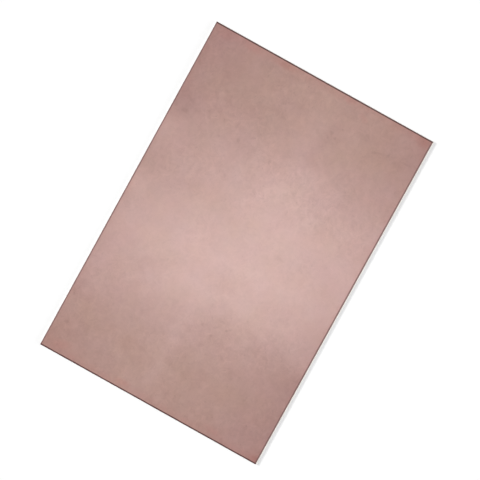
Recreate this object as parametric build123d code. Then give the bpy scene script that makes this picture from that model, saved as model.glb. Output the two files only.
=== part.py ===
from build123d import *
import os

# Copper clad board: a rigid sheet of glass-epoxy laminate with one sheet of
# copper foil bonded to its upper face, guillotined from a larger panel.
# Millimetres. The board lies flat. X runs along the long side, Y along the
# short side, Z up out of the copper face. The origin is on the floor, under
# the middle of the board.

# ---- driving dimensions ----------------------------------------------------
LENGTH = 150.0            # long side, at its widest
WIDTH = 100.0             # short side, at its widest
THICKNESS = 1.6           # over everything, copper included
FOIL = 0.035              # copper foil, the usual "one ounce" weight

# The guillotine's blade comes down on the copper face and draws its edge
# over before it cuts, so the face rolls down to the sheared side. Each step
# is (distance in from the sheared side, drop below the copper face).
ROLL = [(0.60, 0.0), (0.30, 0.05), (0.12, 0.13), (0.0, 0.26)]

# Below the roll, three sides were trimmed first: a straight sheared band, and
# under it a break that leans in towards the lower face.
BREAK_HEIGHT = 0.90       # height of the top of that break
UNDERCUT = 0.08           # how far the lower face's edge is set back by it

# The last long side, -Y, was cut with the stock on the falling side of the
# blade, so its break leans out towards the lower face instead.
FLARE = 0.42              # how much further out the lower edge is than the roll

# ---- derived heights -------------------------------------------------------
RIM_TOP = THICKNESS - ROLL[-1][1]        # where the roll meets the sheared side
RIM_LOW = RIM_TOP - FOIL                 # lower edge of the foil there
X_SIDE = LENGTH / 2
Y_BACK = WIDTH / 2
Y_FRONT = -WIDTH / 2


def flare_at(z):
    # how far in the -Y side is at this height, up to the roll
    return FLARE * z / RIM_TOP


def ring(z, inset, front):
    # corners of the board's outline at height z, going round anticlockwise
    # from above; inset is the setback of three sides, front that of the -Y one
    x = X_SIDE - inset
    return [
        Vector(x, Y_FRONT + front, z),
        Vector(x, Y_BACK - inset, z),
        Vector(-x, Y_BACK - inset, z),
        Vector(-x, Y_FRONT + front, z),
    ]


def facet(points):
    return Face(Wire.make_polygon(points, close=True))


def band(low, high, facing_in=False):
    # the four planar sides between two outlines, facing out of the solid
    sides = [
        [low[i], low[(i + 1) % 4], high[(i + 1) % 4], high[i]] for i in range(4)
    ]
    return [facet(list(reversed(s)) if facing_in else s) for s in sides]


def closed(faces):
    return Solid(Shell(faces))


# ---- outlines --------------------------------------------------------------
lower_face = ring(0.0, UNDERCUT, 0.0)
break_top = ring(BREAK_HEIGHT, 0.0, flare_at(BREAK_HEIGHT))
rim_low = ring(RIM_LOW, 0.0, flare_at(RIM_LOW))
rim_top = ring(RIM_TOP, 0.0, FLARE)

# outlines of the roll from the rim up to the flat, on the copper's outside and
# one foil thickness below it, where the copper lies on the laminate
over = [rim_top] + [
    ring(THICKNESS - drop, inset, FLARE + inset) for inset, drop in reversed(ROLL[:-1])
]
under = [rim_low] + [
    ring(THICKNESS - FOIL - drop, inset, FLARE + inset)
    for inset, drop in reversed(ROLL[:-1])
]

# ---- laminate: from the lower face up to the underside of the copper --------
faces = [facet(list(reversed(lower_face)))]
faces += band(lower_face, break_top)
faces += band(break_top, rim_low)
for low, high in zip(under[:-1], under[1:]):
    faces += band(low, high)
faces.append(facet(under[-1]))
laminate_sheet = closed(faces)

# ---- foil: between the two rolled surfaces, cut flush at the sheared side ---
faces = [facet(list(reversed(under[-1])))]
for low, high in zip(under[:-1], under[1:]):
    faces += band(low, high, facing_in=True)
faces += band(rim_low, rim_top)
for low, high in zip(over[:-1], over[1:]):
    faces += band(low, high)
faces.append(facet(over[-1]))
copper_foil = closed(faces)

# ---- write -----------------------------------------------------------------
os.makedirs("parts", exist_ok=True)
for name, solid in (("laminate_sheet", laminate_sheet), ("copper_foil", copper_foil)):
    solid.label = name
    size = solid.bounding_box().size
    print(name, "valid", solid.is_valid, "volume %.2f mm3" % solid.volume,
          "size %.3f x %.3f x %.3f" % (size.X, size.Y, size.Z))
    export_step(solid, f"parts/{name}.step")
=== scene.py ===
import bpy
import math
import numpy as np
from mathutils import Matrix, Vector


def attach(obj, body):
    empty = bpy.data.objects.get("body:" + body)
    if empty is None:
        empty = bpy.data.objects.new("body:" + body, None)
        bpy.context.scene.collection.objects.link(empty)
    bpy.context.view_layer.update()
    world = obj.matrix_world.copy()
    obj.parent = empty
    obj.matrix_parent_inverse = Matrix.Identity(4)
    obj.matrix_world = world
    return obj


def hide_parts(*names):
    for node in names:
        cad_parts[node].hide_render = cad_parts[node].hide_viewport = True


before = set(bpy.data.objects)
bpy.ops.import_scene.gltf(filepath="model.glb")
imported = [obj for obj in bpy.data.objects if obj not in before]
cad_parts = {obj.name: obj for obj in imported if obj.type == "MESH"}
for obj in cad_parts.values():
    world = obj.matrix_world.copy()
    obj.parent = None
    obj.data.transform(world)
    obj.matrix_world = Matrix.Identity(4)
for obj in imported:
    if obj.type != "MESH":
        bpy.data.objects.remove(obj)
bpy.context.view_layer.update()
MM = 0.001
scene = bpy.context.scene

# ---- sizes and finishes ---------------------------------------------------------
THICK, FOIL = 1.6, 0.035          # of the board, copper included, and of the copper, mm
FLARE = 0.42                      # set-back of the copper from the lower -Y edge, mm
UNDERCUT, BREAK_Z = 0.08, 0.90    # set-back of the other lower edges, and how high it reaches, mm
PLY = 1.565 / 8                   # thickness of one ply of glass cloth, mm
YARN_X, YARN_Y = 0.58, 0.82       # the cloth's yarn pitches, mm
ROUGH = 0.35                      # of the clean foil
CLEAN = (0.928, 0.636, 0.584)     # foil in the middle of the board
# these multiply that: painted shade towards the ends, thin oxide over each end,
# painted shade towards the long sides, thin oxide towards two opposite corners, and a red line of it along every side
ENDS_SHADE = (0.991, 0.976, 1.003)
TAN = (0.992, 1.005, 0.972)
SIDES_SHADE = (0.922, 0.897, 0.910)
STAIN = (0.982, 0.954, 0.985)
BLUSH = (0.99, 0.815, 0.80)
# dark rim lines: partly smear, partly painted shade, the dark that the rolled edge reflects
SHORT_RIM_SMEAR_AND_SHADE = (0.20, 0.094, 0.097)
LONG_RIM_SMEAR_AND_SHADE = (0.43, 0.277, 0.273)
RESIN = (0.70, 0.69, 0.62)
GLASS = (0.87, 0.87, 0.85)
UNDER_DARK = (0.50, 0.46, 0.27)
UNDER_LIGHT = (0.60, 0.56, 0.36)

# Tarnish on the copper, each: x, y, half its length, half its width, turn of
# its length from +X, and how much darker it is (or, below 0, cleaner).
# Broad soft patches:
PATCHES = (
    (40.5, 47.5, 8.5, 9, 0, 0.088), (26, 49, 7, 7, 0, -0.076), (3, 48, 6, 8, 0, -0.105),
    (-38, 44, 10, 8, 0, -0.058), (-30.5, -49, 5.5, 9, 0, -0.060), (-40.5, -49, 6.5, 9, 0, 0.070),
    (23, 28.5, 6, 5, 30, 0.036), (-25, 4, 10, 6, 20, -0.038), (-31, -10, 6, 9, 80, 0.018),
    (57.5, -13, 7, 5, 0, 0.038), (60.5, -38, 3.5, 11, 0, 0.030), (-70.5, 41, 3, 5, 0, -0.070),
    (-57, -21, 8, 8, 0, -0.042), (-57, 15, 8, 8, 0, 0.036), (37, -18, 9, 8, 0, -0.040),
    (71, -15, 5, 6, 0, 0.056), (21, -48, 6, 6, 0, 0.050), (22, -12, 6, 6, 0, 0.034),
    (-46, 33, 6, 5, 0, 0.044), (-56, 48, 5, 6, 0, -0.044), (-22, -23, 12, 7, 10, 0.018),
    (-3, 28, 6, 5, 0, 0.034), (-24, 28, 4.5, 3, -45, 0.045),
)
# Redder blotches along the two ends, where the last number is how red:
BLOTCHES = (
    (71.7, 44.6, 3.7, 2.0, 80, 0.26), (72.5, 31.5, 4.5, 1.6, 90, 0.24), (73.0, 17.0, 5.0, 1.6, 94, 0.44),
    (73.4, -12.6, 3.0, 1.4, 90, 0.40), (69.7, -20.5, 2.6, 1.4, 60, 0.30), (72.9, -46.2, 3.8, 2.6, 80, 0.44),
    (-70.8, 42.4, 4.6, 2.4, 105, 0.46), (-72.1, 13.3, 3.4, 1.5, 90, 0.44), (-71.3, -27.4, 4.5, 1.8, 84, 0.34),
    (-73.2, -48.4, 3.0, 1.7, 90, 0.58),
)
# Small spots and smears:
MARKS = (
    (58.0, -12.2, 0.9, 0.8, 0, 0.07), (56.0, -11.5, 1.0, 0.7, 45, 0.08), (57.0, -14.2, 0.8, 0.6, 0, 0.07),
    (61.5, -15.6, 0.8, 0.6, 60, 0.06), (64.0, -25.6, 1.3, 0.7, 60, 0.06), (59.8, -32.0, 2.2, 0.6, -69, 0.07),
    (60.9, -36.6, 0.8, 0.7, 30, 0.08), (61.6, -44.6, 2.2, 0.6, 90, 0.08), (40.6, 14.6, 1.2, 0.6, -50, 0.06),
    (42.0, 35.2, 1.1, 0.8, -20, 0.06), (37.4, 44.3, 1.7, 1.1, 90, 0.09), (37.0, 19.3, 1.1, 0.8, 30, 0.065),
    (38.0, 8.6, 1.0, 0.8, 0, 0.06), (35.3, 4.1, 0.9, 0.8, 0, 0.095), (34.3, 13.3, 1.1, 0.6, 20, 0.06),
    (22.2, 17.0, 1.2, 0.8, 0, 0.055), (3.0, -18.6, 1.8, 0.8, 90, 0.055), (-31.6, -6.2, 1.3, 0.6, 45, 0.07),
    (-35.4, -3.5, 1.0, 0.7, 30, 0.09), (-37.9, -8.7, 0.9, 0.7, 90, 0.08), (-30.8, -10.4, 1.6, 0.6, 90, 0.065),
    (-32.6, -14.2, 1.8, 0.6, -40, 0.075), (-35.4, -32.2, 2.2, 0.6, 90, 0.075), (-40.2, -35.2, 0.8, 0.6, 0, 0.06),
    (-56.4, 13.0, 1.8, 1.3, 90, 0.06), (-56.2, 0.0, 1.6, 0.6, 0, 0.065), (-61.3, 45.0, 1.9, 0.8, 90, 0.07),
    (-54.0, -33.2, 2.2, 0.5, -15, 0.06),
)

# ---- camera -----------------------------------------------------------------
# Almost straight above the board, leaning a little towards the +X end and the
# -Y side, from far away, with the board's long side turned in the picture.
LENS = 1000.0
LEAN = math.radians(9.24)
LEAN_TOWARDS = math.radians(-14.4)
TURN = math.radians(61.21)
DISTANCE = 5.367
AIM = Vector((1.75 * MM, -0.45 * MM, 0.0))

back = Vector((
    math.sin(LEAN) * math.cos(LEAN_TOWARDS),
    math.sin(LEAN) * math.sin(LEAN_TOWARDS),
    math.cos(LEAN),
))
ex = (Vector((1, 0, 0)) - back * back.x).normalized()
ey = back.cross(ex)
right = math.cos(TURN) * ex - math.sin(TURN) * ey
up = math.sin(TURN) * ex + math.cos(TURN) * ey

camera_data = bpy.data.cameras.new("camera")
camera_data.lens = LENS
camera_data.sensor_width = 36.0
camera_data.clip_start = 0.1
camera_data.clip_end = 12.0
camera = bpy.data.objects.new("camera", camera_data)
scene.collection.objects.link(camera)
camera.matrix_world = Matrix((
    (right.x, up.x, back.x, 0),
    (right.y, up.y, back.y, 0),
    (right.z, up.z, back.z, 0),
    (0, 0, 0, 1),
))
camera.location = AIM + back * DISTANCE
scene.camera = camera

# ---- picture ----------------------------------------------------------------
scene.view_settings.view_transform = "Standard"
scene.view_settings.look = "None"
scene.view_settings.exposure = 0.0
scene.view_settings.gamma = 1.0

# ---- light ------------------------------------------------------------------
world = bpy.data.worlds.new("studio")
scene.world = world
world.use_nodes = True
sky = world.node_tree.nodes["Background"]
sky.inputs["Color"].default_value = (1.09, 1.0, 0.955, 1)
sky.inputs["Strength"].default_value = 0.425


def aim(lamp, at, towards):
    lamp.location = at
    lamp.rotation_mode = "QUATERNION"
    lamp.rotation_quaternion = (Vector(towards) - Vector(at)).to_track_quat("-Z", "Y")


def sun(name, azimuth, elevation, strength, angle, colour=(1, 1, 1)):
    # azimuth is where the light comes from, anticlockwise from +X
    data = bpy.data.lights.new(name, "SUN")
    data.energy = strength
    data.angle = math.radians(angle)
    data.color = colour
    lamp = bpy.data.objects.new(name, data)
    scene.collection.objects.link(lamp)
    a, e = math.radians(azimuth), math.radians(elevation)
    at = Vector((math.cos(a) * math.cos(e), math.sin(a) * math.cos(e), math.sin(e)))
    aim(lamp, at * 3, (0, 0, 0))
    return lamp


def panel(name, at, size, turn, radiance, colour=(0.86, 1.0, 1.065)):
    # a flat diffuse panel facing down; at and size in millimetres
    data = bpy.data.lights.new(name, "AREA")
    data.shape = "RECTANGLE"
    data.size, data.size_y = size[0] * MM, size[1] * MM
    data.color = colour
    # watts that give this radiance over the panel's face
    data.energy = radiance * math.pi * data.size * data.size_y
    lamp = bpy.data.objects.new(name, data)
    scene.collection.objects.link(lamp)
    lamp.location = Vector(at) * MM
    lamp.rotation_euler = (0, 0, math.radians(turn))
    lamp.visible_camera = False
    return lamp


# the key throws the short soft shadow beyond the -Y side and the fill lights
# that side's edge; the metal reflects only the room and the panels below
sun("key", 90, 42, 2.66, 19).visible_glossy = False
sun("fill", -78, 20, 1.45, 40, (1, 1, 1.03)).visible_glossy = False

# panels just over the board: its satin copper spreads them into the bright
# band across the middle, the ridges in it and the fainter streak along it
panel("band_panel", (-9.4, -30.6, 110), (49.6, 183.8), 17.1, 0.359)
panel("streak_panel", (33.8, -0.7, 70), (164.8, 3.4), 14.5, 0.250)
panel("low_ridge_panel", (-39.0, 6.1, 60), (3.4, 367.2), 19.1, 0.124)
panel("high_ridge_panel", (-17.4, 15.1, 45), (2.0, 276.8), 0.0, 0.273)
panel("shoulder_panel", (22.7, 21.1, 45), (20.2, 89.4), 0.1, 0.083)
panel("near_streak_panel", (-3.2, 0.5, 30), (202.4, 9.2), -9.5, 0.032)
panel("near_ridge_panel", (-28.0, -34.1, 30), (2.0, 116.6), 4.3, 0.221)
panel("low_end_strip", (-52.0, 5.3, 14), (33.6, 2.6), 0.5, 0.093)
panel("high_end_strip", (48.6, -4.3, 14), (18.6, 2.2), -3.0, 0.071)
panel("low_ridge_strip", (-24.2, -11.4, 14), (3.0, 61.6), 1.0, 0.055)
panel("high_ridge_strip", (-9.5, -13.1, 14), (2.8, 67.6), 1.0, 0.053)


def card(name, azimuth, distance, size, radiance, colour=(1.0, 1.0, 1.0)):
    # an upright panel standing on the floor, facing the board, that only shows
    # in the metal when it is seen from low down
    data = bpy.data.lights.new(name, "AREA")
    data.shape = "RECTANGLE"
    data.size, data.size_y = size[0] * MM, size[1] * MM
    data.color = colour
    data.energy = radiance * math.pi * data.size * data.size_y
    lamp = bpy.data.objects.new(name, data)
    scene.collection.objects.link(lamp)
    a = math.radians(azimuth)
    at = Vector((distance * math.cos(a), distance * math.sin(a), size[1] / 2)) * MM
    aim(lamp, at, (0, 0, at.z))
    lamp.visible_camera = False
    lamp.visible_diffuse = False
    return lamp


card("far_card", 143, 360, (240, 150), 0.90)
card("near_card", -37, 280, (190, 75), 0.90)
card("end_card", 180, 420, (330, 120), 0.35)
card("side_card", 90, 420, (420, 120), 0.35)

# ---- floor ------------------------------------------------------------------
floor_mesh = bpy.data.meshes.new("floor")
s = 10.0
floor_mesh.from_pydata(
    [(-s, -s, -0.00002), (s, -s, -0.00002), (s, s, -0.00002), (-s, s, -0.00002)],
    [], [(0, 1, 2, 3)])
floor = bpy.data.objects.new("floor", floor_mesh)
scene.collection.objects.link(floor)
floor_mat = bpy.data.materials.new("floor")
floor_mat.use_nodes = True
p = floor_mat.node_tree.nodes["Principled BSDF"]
p.inputs["Base Color"].default_value = (0.57, 0.57, 0.57, 1)
p.inputs["Roughness"].default_value = 1.0
p.inputs["Specular IOR Level"].default_value = 0.0
p.inputs["Emission Color"].default_value = (0.955, 1.0, 1.03, 1)
p.inputs["Emission Strength"].default_value = 0.350
floor_mesh.materials.append(floor_mat)

# ---- node helpers -------------------------------------------------------------
class Graph:
    """A material's nodes, built from plain function calls. A value is a number or a socket."""

    def __init__(self, name):
        self.material = bpy.data.materials.new(name)
        self.material.use_nodes = True
        self.tree = self.material.node_tree
        self.shader = self.tree.nodes["Principled BSDF"]
        where = self.node("ShaderNodeTexCoord").outputs["Object"]
        self.mm = self.vector("SCALE", where, scale=1000.0)
        split = self.node("ShaderNodeSeparateXYZ")
        self.plug(split.inputs[0], self.mm)
        self.x, self.y, self.z = split.outputs

    def node(self, kind, **settings):
        n = self.tree.nodes.new(kind)
        for key, value in settings.items():
            setattr(n, key, value)
        return n

    def plug(self, socket, value):
        if isinstance(value, bpy.types.NodeSocket):
            self.tree.links.new(value, socket)
        elif isinstance(value, (tuple, list)) and len(socket.default_value) == 4 and len(value) == 3:
            socket.default_value = (*value, 1.0)
        else:
            socket.default_value = value

    def math(self, operation, *values, clamp=False):
        n = self.node("ShaderNodeMath", operation=operation, use_clamp=clamp)
        for socket, value in zip(n.inputs, values):
            self.plug(socket, value)
        return n.outputs[0]

    def add(self, a, b):
        return self.math("ADD", a, b)

    def sub(self, a, b):
        return self.math("SUBTRACT", a, b)

    def mul(self, a, b):
        return self.math("MULTIPLY", a, b)

    def least(self, a, b):
        return self.math("MINIMUM", a, b)

    def most(self, a, b):
        return self.math("MAXIMUM", a, b)

    def vector(self, operation, a, b=None, scale=None):
        n = self.node("ShaderNodeVectorMath", operation=operation)
        self.plug(n.inputs[0], a)
        if b is not None:
            self.plug(n.inputs[1], b)
        if scale is not None:
            self.plug(n.inputs["Scale"], scale)
        return n.outputs["Value" if operation in ("DOT_PRODUCT", "LENGTH", "DISTANCE") else "Vector"]

    def combine(self, x, y, z):
        n = self.node("ShaderNodeCombineXYZ")
        for socket, value in zip(n.inputs, (x, y, z)):
            self.plug(socket, value)
        return n.outputs[0]

    def noise(self, where=None, scale=1.0, detail=2.0, rough=0.5, shift=(0, 0, 0), stretch=(1, 1, 1), twist=0.0):
        """Smooth noise about 0, mostly within -1 to 1. scale is features per millimetre."""
        where = self.mm if where is None else where
        if tuple(stretch) != (1, 1, 1):
            where = self.vector("MULTIPLY", where, tuple(stretch))
        if tuple(shift) != (0, 0, 0):
            where = self.vector("ADD", where, tuple(shift))
        n = self.node("ShaderNodeTexNoise", noise_dimensions="3D")
        self.plug(n.inputs["Vector"], where)
        n.inputs["Scale"].default_value = scale
        n.inputs["Detail"].default_value = detail
        n.inputs["Roughness"].default_value = rough
        n.inputs["Distortion"].default_value = twist
        return self.math("MULTIPLY_ADD", n.outputs["Fac"], 4.0, -2.0)

    def ease(self, value, low, high, to_low=0.0, to_high=1.0):
        """Smooth step from to_low at low to to_high at high."""
        n = self.node("ShaderNodeMapRange", interpolation_type="SMOOTHSTEP")
        for socket, v in zip(n.inputs, (value, low, high, to_low, to_high)):
            self.plug(socket, v)
        return n.outputs[0]

    def mix(self, share, a, b, blend="MIX"):
        n = self.node("ShaderNodeMix", data_type="RGBA", blend_type=blend)
        n.clamp_factor = True
        self.plug(n.inputs[0], share)
        self.plug(n.inputs[6], a)
        self.plug(n.inputs[7], b)
        return n.outputs[2]

    def spots(self, where, marks, edge):
        """Sum of soft ellipses. edge is how far out, of each one's half-width, its fall begins."""
        total = 0.0
        for x, y, long, wide, turn, depth in marks:
            n = self.node("ShaderNodeMapping", vector_type="TEXTURE")
            self.plug(n.inputs["Vector"], where)
            n.inputs["Location"].default_value = (x, y, 0)
            n.inputs["Rotation"].default_value = (0, 0, math.radians(turn))
            n.inputs["Scale"].default_value = (long, wide, 1e6)
            total = self.add(self.ease(self.vector("LENGTH", n.outputs[0]), edge, 1.45 - 0.45 * edge, depth, 0.0), total)
        return total

    def bump(self, height, depth, below=None):
        """Bump whose height, about 0 to 1, stands depth millimetres."""
        n = self.node("ShaderNodeBump")
        n.inputs["Strength"].default_value = 1.0
        n.inputs["Distance"].default_value = depth * MM
        self.plug(n.inputs["Height"], height)
        if below is not None:
            self.plug(n.inputs["Normal"], below)
        return n.outputs[0]


HALF_X, BACK_Y, FRONT_Y = 75.0, 50.0, 50.0 - FLARE


# ---- copper: satin foil with faint clouds and painted shade towards its ends and sides, tarnished along the sheared rim, which is darkened partly with painted shade ------
def copper_material():
    g = Graph("satin_copper")
    # millimetres in from the short sides and from the long ones
    from_short = g.sub(HALF_X, g.math("ABSOLUTE", g.x))
    from_long = g.least(g.sub(BACK_Y, g.y), g.add(g.y, FRONT_Y))

    # the clean foil, with painted shade towards its ends and long sides where the bright band falls off, and a little
    # more oxidised towards its corners
    out_x = g.math("POWER", g.math("DIVIDE", g.math("ABSOLUTE", g.x), HALF_X), 2.5)
    out_y = g.math("POWER", g.math("DIVIDE", g.math("ABSOLUTE", g.y), 50.0), 2.5)
    out_y = g.mul(out_y, g.math("MULTIPLY_ADD", g.y, -0.0035, 0.85))
    # painted shade: the foil darker and redder towards the ends and the long sides
    colour = g.mix(out_x, CLEAN, ENDS_SHADE, "MULTIPLY")
    colour = g.mix(out_y, colour, SIDES_SHADE, "MULTIPLY")
    diagonal = g.math("DIVIDE", g.mul(g.x, g.y), HALF_X * 50.0)
    colour = g.mix(g.ease(diagonal, 0.30, 0.85), colour, STAIN, "MULTIPLY")
    colour = g.mix(g.ease(diagonal, -0.30, -0.85), colour, (0.997, 0.981, 0.989), "MULTIPLY")

    # clouds of thin oxide, from a hand's-breadth drift down to small flecks,
    # fainter across the middle
    drift = g.noise(scale=0.030, detail=2.0, rough=0.6, shift=(31, 7, 0))
    cloud = g.noise(scale=0.11, detail=3.0, rough=0.7, shift=(5, 43, 0), twist=0.4)
    mottle = g.noise(scale=0.42, detail=3.0, rough=0.7, shift=(17, 3, 0), twist=0.6)
    patch = g.ease(g.noise(scale=0.045, detail=1.0, shift=(3, 91, 0)), -0.6, 0.6, 0.66, 1.20)
    patch = g.mul(patch, g.ease(g.math("ABSOLUTE", g.add(g.x, 6.0)), 6.0, 34.0, 0.72, 1.0))
    fleck = g.mul(g.ease(g.noise(scale=0.85, detail=2.0, rough=0.6, shift=(61, 29, 0)), 0.45, 1.2), patch)
    colour = g.mix(g.ease(g.math("MULTIPLY_ADD", cloud, 3.0, g.math("ABSOLUTE", g.x)), 42.0, 56.0), colour, TAN, "MULTIPLY")
    tone = g.math("MULTIPLY_ADD", drift, 0.025, 1.0075)
    tone = g.math("MULTIPLY_ADD", cloud, 0.047, tone)
    tone = g.math("MULTIPLY_ADD", g.mul(mottle, patch), 0.079, tone)
    tone = g.math("MULTIPLY_ADD", fleck, -0.100, tone)
    tone = g.add(tone, g.ease(g.x, -72.0, -56.0, 0.012, 0.0))
    # the patches and marks, their outlines made uneven
    jitter = g.node("ShaderNodeTexNoise")
    g.plug(jitter.inputs["Vector"], g.mm)
    jitter.inputs["Scale"].default_value = 0.8
    jitter.inputs["Detail"].default_value = 2.0
    uneven = g.vector("SCALE", g.vector("SUBTRACT", jitter.outputs["Color"], (0.5, 0.5, 0.5)), scale=1.5)
    uneven = g.vector("ADD", g.mm, uneven)
    tone = g.sub(tone, g.spots(uneven, PATCHES, 0.1))
    tone = g.sub(tone, g.spots(uneven, MARKS, 0.3))
    # grain left by the drum that the foil was plated on, along X
    grain = g.noise(scale=1.0, detail=3.0, rough=0.75, stretch=(0.22, 9.0, 1.0))
    tone = g.math("MULTIPLY_ADD", grain, 0.014, tone)
    # darker is also a little redder; and uneven in hue, pink to tan and mauve to olive
    pink = g.noise(scale=0.10, detail=2.0, rough=0.55, shift=(71, 13, 0))
    mauve = g.noise(scale=0.08, detail=2.0, rough=0.55, shift=(11, 77, 0))
    tone = g.sub(tone, 1.0)
    shades = [g.math("MULTIPLY_ADD", tone, share, 1.0) for share in (0.86, 1.04, 1.08)]
    colour = g.vector("MULTIPLY", colour, g.combine(*shades))
    hue = g.combine(g.math("MULTIPLY_ADD", pink, 0.014, 1.0), 1.0, g.math("MULTIPLY_ADD", mauve, 0.024, 1.0))
    colour = g.vector("MULTIPLY", colour, hue)

    # the rim: smeared where the blade drew it over and darkened, partly by the smear and partly
    # with painted shade, the dark that the rolled edge reflects, most of all along the two short sides, and a red line
    # of tarnish inside it
    wander = g.noise(scale=0.33, detail=3.0, rough=0.6, shift=(0, 0, 9))
    ragged = g.noise(scale=2.6, detail=3.0, rough=0.7, shift=(0, 0, 4))
    near_long = g.ease(from_long, 0.5, 9.0, 1.0, 0.0)
    corner = g.mul(g.ease(from_short, 0.6, 10.0, 1.0, 0.0), near_long)
    colour = g.mix(corner, colour, (0.972, 0.983, 0.972), "MULTIPLY")
    halo = g.most(g.ease(from_short, 0.6, 5.0, 0.30, 0.0), g.mul(corner, 0.28))
    halo = g.most(halo, g.ease(from_long, 0.6, 2.6, 0.08, 0.0))
    halo = g.add(halo, g.spots(uneven, BLOTCHES, 0.1))
    halo = g.math("MULTIPLY_ADD", g.mul(wander, g.ease(g.least(from_short, from_long), 1.0, 5.0, 1.0, 0.0)), 0.15, halo)
    colour = g.mix(g.most(halo, 0.0), colour, BLUSH, "MULTIPLY")
    stray = g.math("MULTIPLY_ADD", wander, 0.07, g.mul(ragged, 0.05))
    # widest on the -X and -Y sides
    short_in = g.sub(g.add(from_short, stray), g.mul(g.math("LESS_THAN", g.x, 0.0), 0.11))
    long_in = g.sub(g.add(from_long, stray), g.math("MULTIPLY_ADD", g.math("LESS_THAN", g.y, 0.0), 0.07, 0.03))
    short_rim = g.ease(short_in, 0.34, 0.66, 1.0, 0.0)
    long_rim = g.ease(long_in, 0.22, 0.72, 1.0, 0.0)
    # painted shade with the smear: the dark lines along the rim
    colour = g.mix(g.mul(long_rim, g.math("MULTIPLY_ADD", ragged, 0.10, 0.90)), colour, LONG_RIM_SMEAR_AND_SHADE)
    colour = g.mix(g.mul(short_rim, g.math("MULTIPLY_ADD", ragged, 0.07, 0.95)), colour, SHORT_RIM_SMEAR_AND_SHADE)
    rim = g.most(short_rim, long_rim)
    g.plug(g.shader.inputs["Base Color"], colour)
    g.shader.inputs["Metallic"].default_value = 1.0

    rough = g.math("MULTIPLY_ADD", cloud, 0.012, ROUGH)
    rough = g.math("MULTIPLY_ADD", mottle, 0.010, rough)
    rough = g.math("MULTIPLY_ADD", grain, 0.012, rough)
    rough = g.math("MULTIPLY_ADD", g.mul(rim, g.math("MULTIPLY_ADD", ragged, 0.3, 1.0)), 0.22, rough)
    g.plug(g.shader.inputs["Roughness"], rough)

    # relief: the glass cloth under the foil shows through as a faint grid of
    # yarns, under the foil's own grain
    warp = g.math("SINE", g.mul(g.x, 2 * math.pi / YARN_X))
    weft = g.math("SINE", g.mul(g.y, 2 * math.pi / YARN_Y))
    normal = g.bump(g.math("MULTIPLY_ADD", warp, weft, 1.0), 0.0006)
    normal = g.bump(grain, 0.0009, normal)
    normal = g.bump(g.mul(ragged, rim), 0.006, normal)
    g.plug(g.shader.inputs["Normal"], normal)
    return g.material


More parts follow.
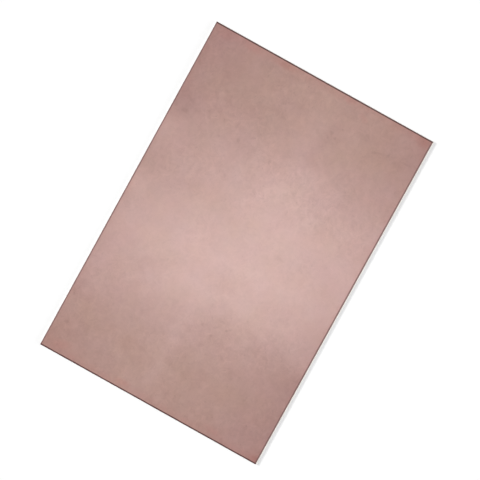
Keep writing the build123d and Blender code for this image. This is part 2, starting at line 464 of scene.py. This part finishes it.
# ---- laminate: woven glass in epoxy, seen bare at the edges and underneath ------
def laminate_material():
    g = Graph("glass_epoxy")
    across = g.math("ABSOLUTE", g.x)
    along = g.math("ABSOLUTE", g.y)
    from_short = g.sub(HALF_X, across)
    from_long = g.sub(BACK_Y, along)
    on_short = g.math("LESS_THAN", from_short, from_long)
    # distance along whichever edge this is
    run = g.math("ADD", g.mul(g.y, on_short), g.mul(g.x, g.sub(1.0, on_short)))
    underside = g.math("LESS_THAN", g.z, 0.004)

    # edges: eight plies of cloth, each a row of cut yarn ends in clear resin
    sway = g.noise(g.combine(run, g.mul(g.z, 0.5), 0.0), scale=0.6, detail=3.0)
    ply = g.math("MULTIPLY_ADD", sway, 0.17, g.math("DIVIDE", g.z, PLY))
    seat = g.math("FLOOR", ply)
    within = g.math("ABSOLUTE", g.sub(g.sub(ply, seat), 0.5))
    stray = g.noise(g.combine(run, 0.0, g.mul(seat, 3.0)), scale=0.8, detail=2.0)
    yarn = g.math("SINE", g.math("MULTIPLY_ADD", stray, 1.3, g.math("MULTIPLY_ADD", run, 2 * math.pi / YARN_X, g.mul(seat, 2.3))))
    tear = g.noise(g.combine(g.mul(run, 5.0), g.mul(g.z, 1.1), seat), scale=1.0, detail=4.0, rough=0.7)
    full = g.math("MULTIPLY_ADD", tear, 0.05, g.math("MULTIPLY_ADD", stray, 0.05, 0.36))
    ends = g.ease(g.math("MULTIPLY_ADD", yarn, 0.12, g.sub(full, within)), -0.05, 0.16)
    chalk = g.noise(g.combine(g.mul(run, 0.7), g.z, 0.0), scale=1.0, detail=3.0, rough=0.6)
    colour = g.mix(ends, RESIN, GLASS)
    colour = g.mix(g.ease(tear, -0.2, 1.0, 0.0, 0.55), colour, (0.86, 0.84, 0.76))
    colour = g.mix(g.ease(tear, -0.3, -1.1, 0.0, 0.35), colour, (0.50, 0.45, 0.30))
    colour = g.mix(g.ease(chalk, 0.0, 0.9, 0.0, 0.35), colour, (0.84, 0.81, 0.72))
    # the straight sheared band is burnished a little darker by the blade
    band = g.ease(g.math("MULTIPLY_ADD", chalk, 0.10, g.z), 0.82, 0.98)
    colour = g.mix(g.mul(band, 0.18), colour, (0.60, 0.54, 0.40))

    # underside: cloth seen through clear resin, with a pale crazed border
    warp = g.math("SINE", g.mul(g.x, 2 * math.pi / YARN_X))
    weft = g.math("SINE", g.mul(g.y, 2 * math.pi / YARN_Y))
    weave = g.mul(warp, weft)
    cloth = g.mix(g.ease(weave, -0.9, 0.9), UNDER_DARK, UNDER_LIGHT)
    murk = g.noise(scale=0.06, detail=4.0, rough=0.6, shift=(13, 57, 0))
    cloth = g.mix(g.ease(murk, -0.8, 0.9, 0.0, 0.35), cloth, (0.66, 0.60, 0.38))
    near = g.math("MULTIPLY_ADD", g.noise(scale=1.1, detail=3.0, rough=0.65), 0.30, g.least(from_short, from_long))
    cloth = g.mix(g.ease(near, 0.25, 1.3, 0.85, 0.0), cloth, (0.78, 0.76, 0.62))
    colour = g.mix(underside, colour, cloth)
    g.plug(g.shader.inputs["Base Color"], colour)

    rough = g.math("MULTIPLY_ADD", tear, 0.07, 0.66)
    rough = g.math("MULTIPLY_ADD", band, -0.16, rough)
    gloss = g.math("MULTIPLY_ADD", murk, 0.03, 0.27)
    gloss = g.add(gloss, g.ease(near, 0.25, 1.0, 0.20, 0.0))
    r = g.node("ShaderNodeMix", data_type="FLOAT")
    g.plug(r.inputs[0], underside)
    g.plug(r.inputs[2], rough)
    g.plug(r.inputs[3], gloss)
    g.plug(g.shader.inputs["Roughness"], r.outputs[0])
    g.shader.inputs["IOR"].default_value = 1.55

    edge_relief = g.mul(g.math("MULTIPLY_ADD", ends, 0.35, g.mul(tear, 0.5)), g.sub(1.0, underside))
    normal = g.bump(edge_relief, 0.035)
    normal = g.bump(g.mul(weave, underside), 0.0016, normal)
    g.plug(g.shader.inputs["Normal"], normal)
    return g.material


# ---- the two sheets, with the relief that the guillotine leaves on the cut sides --
# Columns of points run round the board anticlockwise from its +X -Y corner: up the
# +X side, along +Y, down -X and back along -Y. Rows of them are rings.
COUNTS = (500, 750, 500, 750)
COLUMNS = sum(COUNTS)
side = np.repeat(np.arange(4), COUNTS)
along = np.concatenate([np.arange(n) / n for n in COUNTS])
span = np.array((100.0, 150.0, 100.0, 150.0))[side]
around = along * span + np.array((0.0, 100.0, 250.0, 350.0))[side]
corners = np.cumsum((0,) + COUNTS[:3])


def smooth(t):
    t = np.clip(t, 0.0, 1.0)
    return t * t * (3.0 - 2.0 * t)


# 0 at the corners, where two sides meet on their plain section, and 1 clear of them
clear = smooth(np.minimum(along, 1.0 - along) * span / 1.2)


def rough(wave, seed, up=None, rise=1.0):
    """Smooth random values from -1 to 1 along the columns, and upwards where up is given in mm."""
    up = np.zeros(COLUMNS) if up is None else np.broadcast_to(up, COLUMNS)
    p, q = around / wave, up / rise
    table = np.random.default_rng(seed).uniform(-1, 1, (int(500 / wave) + 3, int(2.0 / rise) + 3))
    i, j = np.floor(p).astype(int), np.floor(q).astype(int)
    f, g = smooth(p - i), smooth(q - j)
    low = table[i, j] * (1 - f) + table[i + 1, j] * f
    high = table[i, j + 1] * (1 - f) + table[i + 1, j + 1] * f
    return low * (1 - g) + high * g


def ring(inset, front, z, dip=0.0):
    """A row of points: inset from the box on three sides and front on the -Y one, with dip more on each side."""
    xs, ys = 75.0 - inset, (50.0 - inset, -50.0 + front)
    x = np.choose(side, (xs - dip, xs - 2 * xs * along, -xs + dip, -xs + 2 * xs * along))
    y = np.choose(side, (
        ys[1] + (ys[0] - ys[1]) * along, ys[0] - dip,
        ys[0] - (ys[0] - ys[1]) * along, ys[1] + dip))
    return np.stack((x, y, np.broadcast_to(z, COLUMNS)), 1)


class Sheet:
    """A mesh put together from rings, with the map that its finish is laid out on."""

    def __init__(self):
        self.points, self.flat, self.faces, self.map = [], [], [], []
        self.total, self.sharp, self.rings = 0, [], []

    def row(self, points, out=0.0):
        """Adds a ring. out is how far it is moved outwards where the surface is laid out flat."""
        flat = points[:, :2].copy()
        if len(points) == COLUMNS:
            flat += np.array(((1, 0), (0, 1), (-1, 0), (0, -1)))[side] * np.broadcast_to(out, COLUMNS)[:, None]
            for c in corners:
                flat[c] = points[c, :2] + np.sign(points[c, :2]) * np.broadcast_to(out, COLUMNS)[c]
        self.points.append(points)
        self.flat.append(flat)
        self.total += len(points)
        return np.arange(self.total - len(points), self.total)

    def band(self, low, high, place):
        """Quads between two rings, facing out. place maps (side, along, height 0 or 1) or flat points."""
        k = np.arange(COLUMNS)
        n = (k + 1) % COLUMNS
        quads = np.stack((low[k], low[n], high[n], high[k]), 1)
        self.faces.append(quads)
        if callable(place):
            self.map.append(("flat", place))
        else:
            step = 1.0 / np.array(COUNTS)[side]
            u = 0.01 + 0.98 * np.stack((along, along + step, along + step, along), 1)
            v0, v1 = place
            v = 0.055 * side[:, None] + np.array((v0, v0, v1, v1))
            self.map.append(("made", np.stack((u, v), 2)))

    def cap(self, edge, z, place, up=True):
        """Closes a ring with a flat face: two steps to wider spacing, then a grid."""
        def inner(inset, counts):
            t = [np.arange(n) / n for n in counts]
            x, y = 75.0 - inset, 50.0 - inset
            return np.concatenate([
                np.stack((x + 0 * t[0], -y + 2 * y * t[0]), 1), np.stack((x - 2 * x * t[1], y + 0 * t[1]), 1),
                np.stack((-x + 0 * t[2], y - 2 * y * t[2]), 1), np.stack((-x + 2 * x * t[3], -y + 0 * t[3]), 1)])

        def lift(xy):
            return np.column_stack((xy, np.full(len(xy), z)))

        groups = []
        mid = self.row(lift(inner(1.8, (100, 150, 100, 150))))
        far = self.row(lift(inner(5.0, (20, 30, 20, 30))))
        for outer, within in ((edge, mid), (mid, far)):
            j = np.arange(len(within))
            fan = [outer[(5 * j + c) % len(outer)] for c in range(6)]
            groups.append(np.stack((*fan, within[(j + 1) % len(within)], within[j]), 1))
        grid = np.empty((31, 21), int)
        gx, gy = np.meshgrid(np.linspace(-70, 70, 31)[1:-1], np.linspace(-45, 45, 21)[1:-1], indexing="ij")
        grid[1:-1, 1:-1] = self.row(lift(np.stack((gx.ravel(), gy.ravel()), 1))).reshape(29, 19)
        grid[30, :], grid[::-1, 20], grid[0, ::-1], grid[:, 0] = (
            np.append(far[0:20], far[20]), np.append(far[20:50], far[50]),
            np.append(far[50:70], far[70]), np.append(far[70:100], far[0]))
        a = grid[:-1, :-1], grid[1:, :-1], grid[1:, 1:], grid[:-1, 1:]
        groups.append(np.stack([q.ravel() for q in a], 1))
        for g in groups:
            self.faces.append(g if up else g[:, ::-1])
            self.map.append(("flat", place))

    def make(self, name, material):
        points = np.concatenate(self.points)
        flat = np.concatenate(self.flat)
        mesh = bpy.data.meshes.new(name)
        mesh.from_pydata((points * MM).tolist(), [], [f for g in self.faces for f in g.tolist()])
        layer = mesh.uv_layers.new(name="OFBake", do_init=False)
        spots = [m[1].reshape(-1, 2) if m[0] == "made" else m[1](flat[g.ravel()])
                 for g, m in zip(self.faces, self.map)]
        layer.uv.foreach_set("vector", np.concatenate(spots).astype(np.float32).ravel())
        mesh.polygons.foreach_set("use_smooth", np.ones(len(mesh.polygons), bool))
        # creases: along the given rows and down the corners
        ends = np.empty(len(mesh.edges) * 2, np.int32)
        mesh.edges.foreach_get("vertices", ends)
        ends = np.sort(ends.reshape(-1, 2), 1).astype(np.int64)
        creases = [np.stack((r, np.roll(r, -1)), 1) for r in self.sharp]
        creases += [np.stack((lo[corners], hi[corners]), 1) for lo, hi in self.rings]
        creases = np.sort(np.concatenate(creases), 1).astype(np.int64)
        crease = np.isin(ends[:, 0] * len(points) + ends[:, 1], creases[:, 0] * len(points) + creases[:, 1])
        mesh.attributes.new("sharp_edge", "BOOLEAN", "EDGE").data.foreach_set("value", crease)
        mesh.materials.append(material)
        mesh.update()
        piece = bpy.data.objects.new(name, mesh)
        scene.collection.objects.link(piece)
        return piece


# the roll: how far in from the cut side, and how far below the copper face there
ROLL_IN = (0.0, 0.03, 0.07, 0.12, 0.18, 0.25, 0.33, 0.42, 0.52, 0.64)
ROLL_DROP = (0.26, 0.222, 0.175, 0.13, 0.095, 0.063, 0.038, 0.018, 0.005, 0.0)
pull = 1.0 + clear * (0.09 * rough(23.0, 1) + 0.05 * rough(3.7, 2))     # a blade never draws evenly
nick = clear * np.clip(0.010 + 0.010 * rough(2.9, 3) + 0.012 * rough(0.55, 4), 0.0, 0.04)
smear = 0.02 + clear * np.clip(0.018 * rough(6.0, 5) + 0.016 * rough(0.8, 6), -0.02, 0.05)


def copper_sheet():
    s = Sheet()

    def top(flat):
        return np.stack((0.5 + flat[:, 0] / 151.6, 0.555 + 0.87 * flat[:, 1] / 101.4), 1)

    def under(flat):
        return np.stack((0.5 + flat[:, 0] / 151.6, 0.055 + 0.08 * flat[:, 1] / 101.4), 1)

    # outside, from the smeared lip up over the roll to the flat
    rim_z = THICK - ROLL_DROP[0] * pull
    lip_z = rim_z - FOIL - smear
    low_front = FLARE * (THICK - ROLL_DROP[0] - FOIL - 0.02) / (THICK - ROLL_DROP[0])
    arc = [0.0]
    for i in range(len(ROLL_IN) - 1, 0, -1):
        arc.append(arc[-1] + math.hypot(ROLL_IN[i] - ROLL_IN[i - 1], ROLL_DROP[i] - ROLL_DROP[i - 1]))
    arc = arc[::-1]
    lip = s.row(ring(0.0, low_front, lip_z, nick * 0.5), arc[0] - ROLL_IN[-1] + 0.06)
    rows = [lip]
    for d, drop, length in zip(ROLL_IN, ROLL_DROP, arc):
        fade = 1.0 - smooth(d / 0.2)
        rows.append(s.row(
            ring(d, FLARE + d, THICK - drop * pull, nick * fade), length - (ROLL_IN[-1] - d)))
    for low, high in zip(rows[:-1], rows[1:]):
        s.band(low, high, top)
    s.cap(rows[-1], THICK, top)
    # underside, lying on the laminate
    inside = [s.row(ring(0.014, low_front + 0.014, lip_z, nick * 0.5))]
    for d, drop in ((0.03, 0.222), (0.12, 0.13), (0.30, 0.047), (0.64, 0.0)):
        inside.append(s.row(ring(d + 0.006, FLARE + d + 0.006, THICK - FOIL - drop * pull)))
    s.band(inside[0], lip, under)
    for low, high in zip(inside[:-1], inside[1:]):
        s.band(high, low, under)
    s.cap(inside[-1], THICK - FOIL, under, up=False)
    s.sharp = [lip, rows[1], inside[0]]
    s.rings = [*zip(rows[:-1], rows[1:]), (inside[0], lip), *zip(inside[:-1], inside[1:])]
    return s


def laminate_sheet():
    s = Sheet()
    wall = THICK - ROLL_DROP[0]

    def bottom(flat):
        return np.stack((0.5 + flat[:, 0] / 151.6, 0.655 + 0.67 * flat[:, 1] / 101.4), 1)

    def hidden(flat):
        return np.stack((0.5 + flat[:, 0] / 151.6, 0.27 + 0.03 * flat[:, 1] / 101.4), 1)

    # how high the break reaches under the burnished band, lower on three sides
    edge_z = np.where(side == 3, 1.14, 0.86) + 0.07 * rough(2.4, 11) + 0.03 * rough(0.6, 12)
    chip = clear * np.clip(0.16 * (rough(1.7, 13) - 0.45) + 0.05 * rough(0.5, 14), 0.0, 0.09)

    def relief(z):
        """How far the broken glass lies in from the plain side at height z."""
        broken = 1.0 - smooth((z - edge_z + 0.05) / 0.12)
        ply = np.floor(z / PLY)
        yarn = np.sin(around * 2 * math.pi / YARN_X + ply * 2.3) * math.cos(math.pi * (z / PLY - ply - 0.5))
        torn = 0.030 + 0.020 * yarn + 0.020 * rough(0.9, 21, z, 0.24) + 0.014 * rough(0.42, 22, z, 0.13)
        drag = 0.007 + 0.006 * rough(0.45, 23)
        return clear * np.clip(torn * broken + drag * (1.0 - broken), 0.0, 0.1)

    heights = (0.0, 0.05, 0.11, 0.18, 0.26, 0.35, 0.44, 0.53, 0.62, 0.71, 0.80, 0.88, 0.96, 1.04, 1.12, 1.20)
    rows = []
    for z in heights:
        inset = UNDERCUT * (1.0 - z / BREAK_Z) if z < BREAK_Z else 0.0
        up = z + chip * max(1.0 - z / 0.3, 0.0)
        rows.append(s.row(ring(inset, FLARE * z / wall, up, relief(z))))
    low_z = wall - FOIL + ROLL_DROP[0] * (1.0 - pull)
    rows.append(s.row(ring(0.028, FLARE + 0.02, low_z)))
    for i, (low, high) in enumerate(zip(rows[:-1], rows[1:])):
        s.band(low, high, (0.005 + 0.045 * i / (len(rows) - 1), 0.005 + 0.045 * (i + 1) / (len(rows) - 1)))
    # underneath, a narrow border that the chips break into, then the flat
    border = s.row(ring(UNDERCUT + 0.10, 0.10, 0.0, clear * 0.03 + 1.6 * chip))
    s.band(border, rows[0], bottom)
    s.cap(border, 0.0, bottom, up=False)
    # the roll and the flat under the copper
    covered = [rows[-1]]
    for d, drop in ((0.12, 0.13), (0.30, 0.047), (0.64, 0.0)):
        covered.append(s.row(ring(d + 0.012, FLARE + d + 0.012, THICK - FOIL - 0.002 - drop * pull)))
    for low, high in zip(covered[:-1], covered[1:]):
        s.band(low, high, hidden)
    s.cap(covered[-1], THICK - FOIL - 0.002, hidden)
    s.sharp = [rows[0], rows[-1]]
    s.rings = [*zip(rows[:-1], rows[1:]), (border, rows[0]), *zip(covered[:-1], covered[1:])]
    return s


for node, slot, sheet, material in (
    ("copper_foil", "copper", copper_sheet(), copper_material()),
    ("laminate_sheet", "laminate", laminate_sheet(), laminate_material()),
):
    piece = sheet.make("copper_sheet" if slot == "copper" else "glass_epoxy_sheet", material)
    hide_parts(node)
    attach(piece, "root")
